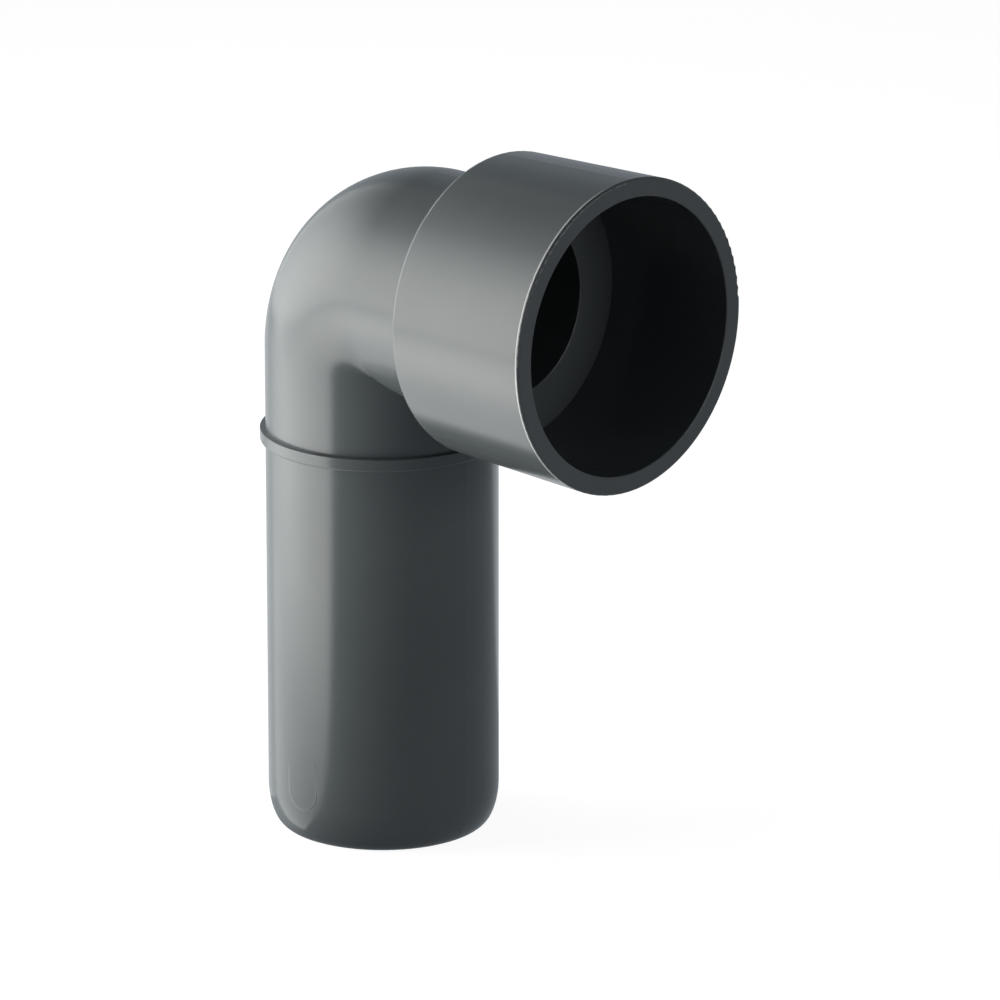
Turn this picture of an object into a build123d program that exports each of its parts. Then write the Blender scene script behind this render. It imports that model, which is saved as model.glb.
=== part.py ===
from build123d import *
import os

# One-piece push-fit waste elbow, 90 degrees, sizes in mm.
# Frame: origin at the centre of the spigot's end, Z up the spigot, X out of the socket.

# Spigot and bend
spigot_od = 40.0  # standard waste pipe size
pipe_wall = 4.2  # from the size of the hole seen inside the socket
insert_depth = 69.0  # spigot end to the underside of the stop bead
lead_in_height = 7.4  # rounded lead-in at the spigot's end
lead_in_depth = 3.0
bend_radius = 12.9  # centre line of the bend
axis_height = 98.5  # socket axis above the spigot's end

# Stop bead
bead_height = 2.2
bead_rise = 0.95
bead_top_round = 0.85
bead_foot_round = 0.45

# Socket
socket_wall = 3.25  # at the rim
socket_bore_r = 23.7
socket_draft = 0.95  # how much smaller the outside is at the back
back_x = 27.8
shoulder_x = 31.7
socket_depth = 26.4

# Edges
back_edge_round = 1.0
root_round = 0.8
rim_outer_round = 0.5
rim_inner_round = 0.25
hole_edge_round = 0.2

# Low tongue-shaped mark that the mould leaves on the spigot's side, with sloping edges
mark_height = 0.06
mark_root = 1.0  # how far its foot lies inside the wall
mark_width = 8.2  # at the foot
mark_bottom = 5.4
mark_top = 18.0
mark_slope = 45.0  # degrees

# Sizes that follow
spigot_r = spigot_od / 2
waterway_r = spigot_r - pipe_wall
wall_middle_r = spigot_r - pipe_wall / 2
bend_z = axis_height - bend_radius
bead_r = spigot_r + bead_rise
bead_top = insert_depth + bead_height
mouth_x = shoulder_x + socket_depth
rim_r = socket_bore_r + socket_wall
back_r = rim_r - socket_draft
socket_axis = Axis((0, 0, axis_height), (1, 0, 0))
bend_axis = Axis((bend_radius, 0, bend_z), (0, 1, 0))


def bend_profile(radius):
    """A pipe's circle, cut off at the bend's own axis, where the two straight legs take over."""
    with BuildSketch(Plane.XY.offset(bend_z)) as profile:
        Circle(radius)
        with Locations((bend_radius, 0)):
            Rectangle(2 * radius, 2 * radius, align=(Align.MIN, Align.CENTER), mode=Mode.SUBTRACT)
    return profile.sketch


def socket_edge(body, radius, station):
    """The circular edge of one radius around the socket's axis, at one distance along X."""
    circles = body.edges().filter_by(GeomType.CIRCLE)
    return circles.sort_by(lambda edge: abs(edge.radius - radius) + abs(edge.arc_center.X - station))[0]


with BuildPart() as mark:
    with BuildSketch(Plane.XZ.offset(spigot_r - mark_root)):
        with Locations((0, (mark_bottom + mark_top) / 2)):
            SlotOverall(mark_top - mark_bottom, mark_width, rotation=90)
    extrude(amount=mark_root + 2 * mark_height, taper=mark_slope)
    with BuildSketch(Plane.XY):
        Circle(spigot_r + mark_height)
    extrude(amount=insert_depth, mode=Mode.INTERSECT)

with BuildPart() as elbow_body:
    # Vertical leg: spigot with its lead-in, carried up to the bend
    with BuildSketch(Plane.XZ):
        with BuildLine():
            Line((0, 0), (spigot_r - lead_in_depth, 0))
            EllipticalCenterArc(
                (spigot_r - lead_in_depth, lead_in_height),
                lead_in_depth,
                lead_in_height,
                start_angle=-90,
                arc_size=90,
            )
            Polyline((spigot_r, lead_in_height), (spigot_r, bend_z), (0, bend_z), (0, 0))
        make_face()
    revolve(axis=Axis.Z)

    # Stop bead
    with BuildSketch(Plane.XZ):
        with BuildLine():
            Polyline(
                (wall_middle_r, insert_depth),
                (bead_r, insert_depth),
                (bead_r, bead_top),
                (wall_middle_r, bead_top),
                close=True,
            )
        bead_face = make_face()
        bead_foot_corner, bead_top_corner = bead_face.vertices().group_by(Axis.X)[-1].sort_by(Axis.Z)
        fillet(bead_foot_corner, radius=bead_foot_round)
        fillet(bead_top_corner, radius=bead_top_round)
    revolve(axis=Axis.Z)

    # Bend between the legs
    revolve(bend_profile(spigot_r), axis=bend_axis, revolution_arc=90)

    # Horizontal leg and socket in one profile around the socket's axis
    with BuildSketch(Plane.XZ):
        with BuildLine():
            Polyline(
                (bend_radius, axis_height),
                (bend_radius, axis_height + spigot_r),
                (back_x, axis_height + spigot_r),
                (back_x, axis_height + back_r),
                (mouth_x, axis_height + rim_r),
                (mouth_x, axis_height),
                close=True,
            )
        leg_face = make_face()
        corners = leg_face.vertices()
        fillet(corners.sort_by_distance((back_x, axis_height + spigot_r, 0))[0], radius=root_round)
    revolve(axis=socket_axis)

    # Waterway: up the spigot, round the bend, out to the shoulder
    with BuildSketch(Plane.XY):
        Circle(waterway_r)
    extrude(amount=bend_z, mode=Mode.SUBTRACT)
    revolve(bend_profile(waterway_r), axis=bend_axis, revolution_arc=90, mode=Mode.SUBTRACT)
    with BuildSketch(Plane.YZ.offset(bend_radius)):
        with Locations((0, axis_height)):
            Circle(waterway_r)
    extrude(amount=shoulder_x - bend_radius, mode=Mode.SUBTRACT)

    # Socket bore
    with BuildSketch(Plane.YZ.offset(shoulder_x)):
        with Locations((0, axis_height)):
            Circle(socket_bore_r)
    extrude(amount=socket_depth, mode=Mode.SUBTRACT)

    # Mould mark and rounded edges
    add(mark.part)
    fillet(socket_edge(elbow_body, back_r, back_x), radius=back_edge_round)
    fillet(socket_edge(elbow_body, rim_r, mouth_x), radius=rim_outer_round)
    fillet(socket_edge(elbow_body, socket_bore_r, mouth_x), radius=rim_inner_round)
    fillet(socket_edge(elbow_body, waterway_r, shoulder_x), radius=hole_edge_round)

elbow_body.part.label = "elbow_body"
export_step(elbow_body.part, "parts/elbow_body.step")
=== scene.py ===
import math

import bpy
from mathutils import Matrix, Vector

# Camera, fitted to the photograph. Angles in degrees, azimuth 0 along -Y and turning towards +X.
CAMERA_AZIMUTH = 43.95
CAMERA_ELEVATION = 17.86
CAMERA_DISTANCE = 1.3585
CAMERA_TARGET = Vector((0.02906, 0.0, 0.04924))
FRAME_PX = 1000.0
FOCAL_PX = 8000.0
CENTRE_PX = (504.18, 583.16)
SENSOR_MM = 36.0

# Moulded plastic
PLASTIC_COLOUR = (0.103, 0.117, 0.123)
PLASTIC_ROUGHNESS = 0.21
PLASTIC_IOR = 1.45
FLOW_SCALE = 45.0
FLOW_DETAIL = 3.0
FLOW_RANGE = (0.3, 0.7)
FLOW_TONE = 0.05
GRAIN_SCALE = 1500.0
GRAIN_DEPTH = 0.000004
# Colour of the painted highlights along the rim's edge and the mark's outline
HIGHLIGHT_COLOUR = (0.60, 0.62, 0.62)
SOCKET_AXIS_HEIGHT = 0.0985

# Where the rim's edge and the mark's outline get painted highlights. A pair is a span that the change is
# spread over.
EDGE_START = (0.05737, 0.05748)
EDGE_END = (0.05768, 0.05780)
EDGE_RADIUS = (0.025, 0.0256)
EDGE_HIGHLIGHT = 1.0
EDGE_SIDE = (-0.012, -0.002)
MARK_MIDDLE = 0.0117
MARK_STRAIGHT = 0.0022  # half its straight sides
MARK_REACH = 0.0231  # half the mark's width and the depth of its foot
MARK_LINE = (0.00008, 0.00025)
MARK_FADE = (0.011, 0.016)
MARK_HIGHLIGHT = 0.08
PLAIN_START = (0.0080, 0.0105)
PLAIN_END = (0.0188, 0.0193)
PATCH_SIDE = (0.0046, 0.0050)
PATCH_DEPTH = (-0.0188, -0.0183)

# Studio. A level of 1 is white paper in plain light.
KEY_PANELS = ((-47.0, 0.44), (-80.8, 0.20), (-104.7, 0.24))  # azimuth and width, side by side
KEY_DISTANCE = 0.52
KEY_HEIGHT = 0.77
KEY_LEVEL = 5.0
KEY_TURN = (-112.0, -52.0)  # azimuths from its dim left end to its full level
KEY_END = 0.15
KEY_RISE = (0.16, 0.70)  # heights from its full level to its dim top
KEY_TOP = 0.15
CARD_AZIMUTH = -4.5
CARD_START = 0.020
CARD_LENGTH = 0.66
CARD_WIDTH = 0.48
CARD_SPAN = (0.025, 0.165)
CARD_LEVELS = (1.5, 4.9)
CARD_SIDE = (0.14, 0.34)
CARD_DIM = 0.6
CARD_FADE = (0.505, 0.545)  # ends at the key's foot
CARD_LIFT = 0.001
SIDE_CARD_SIZE = 0.40
SIDE_CARD_LEVEL = 0.40
FILL_AZIMUTH = 97.0
FILL_DISTANCE = 1.0
FILL_WIDTH = 0.50
FILL_HEIGHT = 0.45
FILL_LEVEL = 2.4
ROOM_LEVEL = 0.06
LAMP_TINT = (1.0, 0.99, 0.955)
ROOM_TINT = (0.9, 1.0, 1.1, 1.0)
FLOOR_SIZE = 12.0
FLOOR_PAPER = 0.3
FLOOR_GLOW = 0.93
MIRRORED_WHITE = 0.4
CEILING_FADE = (0.35, 0.75)  # sines of the elevation
CEILING_LEVEL = 0.2


def direction(azimuth, elevation):
    """Unit vector from the part towards a place in the studio."""
    turn, rise = math.radians(azimuth), math.radians(elevation)
    return Vector((math.sin(turn) * math.cos(rise), -math.cos(turn) * math.cos(rise), math.sin(rise)))


def looking(way):
    """Rotation of a lamp or a camera that looks along a direction."""
    return way.to_track_quat("-Z", "Y").to_euler()


def add_node(tree, kind, *sources, operation=None, values=None):
    """A node of one kind, with its first inputs linked to the given outputs and others set by number."""
    node = tree.nodes.new(kind)
    if operation:
        node.operation = operation
    for index, source in enumerate(sources):
        tree.links.new(source, node.inputs[index])
    for index, value in (values or {}).items():
        node.inputs[index].default_value = value
    return node


def calc(tree, operation, *terms):
    """One step of arithmetic on node outputs and numbers."""
    node = add_node(tree, "ShaderNodeMath", operation=operation)
    for socket, term in zip(node.inputs, terms):
        if isinstance(term, float):
            socket.default_value = term
        else:
            tree.links.new(term, socket)
    return node.outputs[0]


def ramp(tree, source, span, levels):
    """Smooth step of a value from one level to another over a span."""
    limits = dict(enumerate((*span, *levels), start=1))
    node = add_node(tree, "ShaderNodeMapRange", source, values=limits)
    node.interpolation_type = "SMOOTHSTEP"
    return node.outputs[0]


def band(tree, source, start, end):
    """1 between two smooth steps and 0 outside them."""
    return calc(tree, "MULTIPLY", ramp(tree, source, start, (0.0, 1.0)),
                ramp(tree, source, end, (1.0, 0.0)))


def distance(tree, first, second):
    """Length of the diagonal over two sides."""
    squares = calc(tree, "ADD", calc(tree, "POWER", first, 2.0), calc(tree, "POWER", second, 2.0))
    return calc(tree, "SQRT", squares)


def make_plastic():
    """Satin moulded plastic with faint flow marks, a fine grain, a painted highlight along the rim's edge
    and a faint painted highlight along the mould mark's outline.
    """
    material = bpy.data.materials.new("elbow_plastic")
    material.use_nodes = True
    tree = material.node_tree
    shader = tree.nodes["Principled BSDF"]
    place = add_node(tree, "ShaderNodeTexCoord").outputs["Object"]
    x, y, z = add_node(tree, "ShaderNodeSeparateXYZ", place).outputs

    flow = add_node(tree, "ShaderNodeTexNoise", place,
                    values={"Scale": FLOW_SCALE, "Detail": FLOW_DETAIL}).outputs["Fac"]
    tone = ramp(tree, flow, FLOW_RANGE, (1 - FLOW_TONE, 1 + FLOW_TONE))
    colour = add_node(tree, "ShaderNodeVectorMath", operation="SCALE",
                      values={0: PLASTIC_COLOUR, "Scale": 1.0})
    tree.links.new(tone, colour.inputs["Scale"])

    # Painted highlight on the rim's outer edge, where it turns from the socket's side into the rim's face,
    # on its -Y side only
    across = calc(tree, "SUBTRACT", z, SOCKET_AXIS_HEIGHT)
    radius = distance(tree, y, across)
    outside = calc(tree, "MULTIPLY", ramp(tree, radius, EDGE_RADIUS, (0.0, EDGE_HIGHLIGHT)),
                   ramp(tree, y, EDGE_SIDE, (1.0, 0.0)))
    edge_highlight = calc(tree, "MULTIPLY", band(tree, x, EDGE_START, EDGE_END), outside)

    # Painted highlight along the outline of the tongue-shaped mark: distance from its sloping edge, fading
    # out towards its top
    patch = calc(tree, "MULTIPLY", ramp(tree, calc(tree, "ABSOLUTE", x), PATCH_SIDE, (1.0, 0.0)),
                 ramp(tree, y, PATCH_DEPTH, (1.0, 0.0)))
    rise = calc(tree, "ABSOLUTE", calc(tree, "SUBTRACT", z, MARK_MIDDLE))
    above = calc(tree, "MAXIMUM", calc(tree, "SUBTRACT", rise, MARK_STRAIGHT), 0.0)
    spread = distance(tree, x, above)
    offset = calc(tree, "ABSOLUTE", calc(tree, "SUBTRACT", calc(tree, "SUBTRACT", spread, y), MARK_REACH))
    line = calc(tree, "MULTIPLY", ramp(tree, offset, MARK_LINE, (MARK_HIGHLIGHT, 0.0)),
                calc(tree, "MULTIPLY", patch, ramp(tree, z, MARK_FADE, (1.0, 0.0))))

    # The painted highlights pale the plastic's colour
    painted_highlight = calc(tree, "MAXIMUM", edge_highlight, line)
    highlighted = add_node(tree, "ShaderNodeMixRGB", painted_highlight, colour.outputs[0], values={2: (*HIGHLIGHT_COLOUR, 1)})

    grain = add_node(tree, "ShaderNodeTexNoise", place, values={"Scale": GRAIN_SCALE}).outputs["Fac"]
    # The mark's upper slopes hardly show, so there the light falls as on the plain pipe
    plain = calc(tree, "MULTIPLY", patch, band(tree, z, PLAIN_START, PLAIN_END))
    level_place = add_node(tree, "ShaderNodeVectorMath", place, operation="MULTIPLY", values={1: (1, 1, 0)})
    round_pipe = add_node(tree, "ShaderNodeVectorMath", level_place.outputs[0], operation="NORMALIZE")
    facing = add_node(tree, "ShaderNodeMixRGB", plain,
                      add_node(tree, "ShaderNodeNewGeometry").outputs["Normal"], round_pipe.outputs[0])

    relief = add_node(tree, "ShaderNodeBump", values={"Distance": GRAIN_DEPTH})
    tree.links.new(facing.outputs[0], relief.inputs["Normal"])
    tree.links.new(grain, relief.inputs["Height"])
    tree.links.new(highlighted.outputs[0], shader.inputs["Base Color"])
    tree.links.new(relief.outputs[0], shader.inputs["Normal"])
    shader.inputs["Roughness"].default_value = PLASTIC_ROUGHNESS
    shader.inputs["IOR"].default_value = PLASTIC_IOR
    return material


def either(tree, first, second):
    return add_node(tree, "ShaderNodeMath", first, second, operation="MAXIMUM").outputs[0]


def grey(level):
    return (level, level, level, 1)


def make_floor():
    """Floor that is white in view and duller in reflections, and sends little light back to the part."""
    bpy.ops.mesh.primitive_plane_add(size=FLOOR_SIZE)
    floor = bpy.context.object
    floor.name = "floor"
    material = bpy.data.materials.new("floor")
    material.use_nodes = True
    tree = material.node_tree
    tree.nodes.clear()
    path = add_node(tree, "ShaderNodeLightPath").outputs
    in_view = either(tree, path["Is Camera Ray"], path["Is Transmission Ray"])
    paper = add_node(tree, "ShaderNodeBsdfDiffuse", values={0: grey(FLOOR_PAPER)}).outputs[0]
    view_glow = add_node(tree, "ShaderNodeEmission", values={1: FLOOR_GLOW}).outputs[0]
    mirrored = add_node(tree, "ShaderNodeEmission", values={0: ROOM_TINT, 1: MIRRORED_WHITE}).outputs[0]
    viewed = add_node(tree, "ShaderNodeAddShader", paper, view_glow).outputs[0]
    lit = add_node(tree, "ShaderNodeMixShader", path["Is Glossy Ray"], paper, mirrored).outputs[0]
    surface = add_node(tree, "ShaderNodeMixShader", in_view, lit, viewed).outputs[0]
    add_node(tree, "ShaderNodeOutputMaterial", surface)
    floor.data.materials.append(material)


def make_world():
    """White backdrop in view, a duller one with a darker ceiling in reflections, and a dim room light."""
    world = bpy.data.worlds.new("studio")
    bpy.context.scene.world = world
    world.use_nodes = True
    tree = world.node_tree
    tree.nodes.clear()
    path = add_node(tree, "ShaderNodeLightPath").outputs
    in_view = either(tree, path["Is Camera Ray"], path["Is Transmission Ray"])
    towards = add_node(tree, "ShaderNodeTexCoord").outputs["Generated"]
    height = add_node(tree, "ShaderNodeSeparateXYZ", towards)
    fade = add_node(tree, "ShaderNodeMapRange", height.outputs["Z"],
                    values=dict(enumerate((*CEILING_FADE, 0.0, 1.0), start=1)))
    room, mirrored, ceiling = (
        add_node(tree, "ShaderNodeBackground", values={0: ROOM_TINT, 1: level}).outputs[0]
        for level in (ROOM_LEVEL, MIRRORED_WHITE, CEILING_LEVEL))
    white = add_node(tree, "ShaderNodeBackground", values={0: grey(1.0), 1: 1.0}).outputs[0]
    overhead = add_node(tree, "ShaderNodeMixShader", fade.outputs[0], mirrored, ceiling).outputs[0]
    lit = add_node(tree, "ShaderNodeMixShader", path["Is Glossy Ray"], room, overhead).outputs[0]
    surface = add_node(tree, "ShaderNodeMixShader", in_view, lit, white).outputs[0]
    add_node(tree, "ShaderNodeOutputWorld", surface)


def softbox(name, place, rotation, width, height, level):
    """A rectangular lamp of an even level, hidden from the camera."""
    lamp = bpy.data.lights.new(name, "AREA")
    lamp.shape = "RECTANGLE"
    lamp.size = width
    lamp.size_y = height
    lamp.energy = level * math.pi * width * height
    lamp.color = LAMP_TINT
    holder = bpy.data.objects.new(name, lamp)
    bpy.context.collection.objects.link(holder)
    holder.location = place
    holder.rotation_euler = rotation
    holder.visible_camera = False
    return holder


def upright(name, azimuth, away, width, height, level):
    """A softbox that stands on the table and faces the part."""
    towards = direction(azimuth, 0)
    place = away * towards + Vector((0, 0, height / 2))
    return softbox(name, place, looking(-towards), width, height, level)


def grade(holder, grading):
    """Let a lamp's level change over its face, as a function of the place in the studio."""
    holder.data.use_nodes = True
    tree = holder.data.node_tree
    place = add_node(tree, "ShaderNodeNewGeometry").outputs["Position"]
    level = grading(tree, *add_node(tree, "ShaderNodeSeparateXYZ", place).outputs)
    tree.links.new(level, tree.nodes["Emission"].inputs["Strength"])


def key_level(tree, x, y, z):
    """Full in front, dimmer round to the left and towards the top."""
    azimuth = calc(tree, "ARCTAN2", x, calc(tree, "MULTIPLY", y, -1.0))
    turn = tuple(math.radians(angle) for angle in KEY_TURN)
    return calc(tree, "MULTIPLY", ramp(tree, azimuth, turn, (KEY_END, 1.0)),
                ramp(tree, z, KEY_RISE, (1.0, KEY_TOP)))


def card_ways():
    """Directions along the cards' line and square to it, towards the left."""
    return direction(CARD_AZIMUTH, 0), direction(CARD_AZIMUTH - 90, 0)


def card_level(tree, x, y, _z):
    """Dim beside the part, brighter away from it up to the key's foot, and less bright to the far left."""
    along, across = (
        calc(tree, "ADD", calc(tree, "MULTIPLY", x, way.x), calc(tree, "MULTIPLY", y, way.y))
        for way in card_ways())
    level = calc(tree, "MULTIPLY", ramp(tree, along, CARD_SPAN, CARD_LEVELS),
                 ramp(tree, across, CARD_SIDE, (1.0, CARD_DIM)))
    return calc(tree, "MULTIPLY", level, ramp(tree, distance(tree, x, y), CARD_FADE, (1.0, 0.0)))


def table_card(name, along, across, length, width, level):
    """A lamp that lies on the table and faces up, given by its middle along and across the cards' line."""
    line, side = card_ways()
    place = along * line + across * side + Vector((0, 0, CARD_LIFT))
    return softbox(name, place, (math.pi, 0, math.radians(CARD_AZIMUTH)), width, length, level)


def make_lamps():
    """A softbox round the left side, lit cards on the table and a fill on the right."""
    for azimuth, width in KEY_PANELS:
        grade(upright("key", azimuth, KEY_DISTANCE, width, KEY_HEIGHT, KEY_LEVEL), key_level)
    # Level 1, because its grading holds the whole level
    card = table_card("table_card", CARD_START + CARD_LENGTH / 2, CARD_WIDTH / 2,
                      CARD_LENGTH, CARD_WIDTH, 1.0)
    grade(card, card_level)
    table_card("side_card", CARD_START - SIDE_CARD_SIZE / 2, CARD_START + SIDE_CARD_SIZE / 2,
               SIDE_CARD_SIZE, SIDE_CARD_SIZE, SIDE_CARD_LEVEL)
    upright("fill", FILL_AZIMUTH, FILL_DISTANCE, FILL_WIDTH, FILL_HEIGHT, FILL_LEVEL)


def make_camera():
    camera = bpy.data.cameras.new("photo_camera")
    camera.sensor_width = SENSOR_MM
    camera.lens = FOCAL_PX * SENSOR_MM / FRAME_PX
    camera.shift_x = (FRAME_PX / 2 - CENTRE_PX[0]) / FRAME_PX
    camera.shift_y = (CENTRE_PX[1] - FRAME_PX / 2) / FRAME_PX
    holder = bpy.data.objects.new("photo_camera", camera)
    bpy.context.collection.objects.link(holder)
    towards = direction(CAMERA_AZIMUTH, CAMERA_ELEVATION)
    holder.location = CAMERA_TARGET + CAMERA_DISTANCE * towards
    holder.rotation_euler = looking(-towards)
    bpy.context.scene.camera = holder


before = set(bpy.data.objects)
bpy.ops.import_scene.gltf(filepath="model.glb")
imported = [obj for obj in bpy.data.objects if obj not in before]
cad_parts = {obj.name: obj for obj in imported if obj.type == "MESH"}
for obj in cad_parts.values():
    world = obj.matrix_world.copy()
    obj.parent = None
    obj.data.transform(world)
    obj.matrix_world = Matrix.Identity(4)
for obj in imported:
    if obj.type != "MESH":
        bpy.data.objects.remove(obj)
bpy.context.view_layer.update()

plastic = make_plastic()
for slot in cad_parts["elbow_body"].material_slots:
    slot.material = plastic

make_floor()
make_world()
make_lamps()
make_camera()

bpy.context.scene.view_settings.view_transform = "Standard"
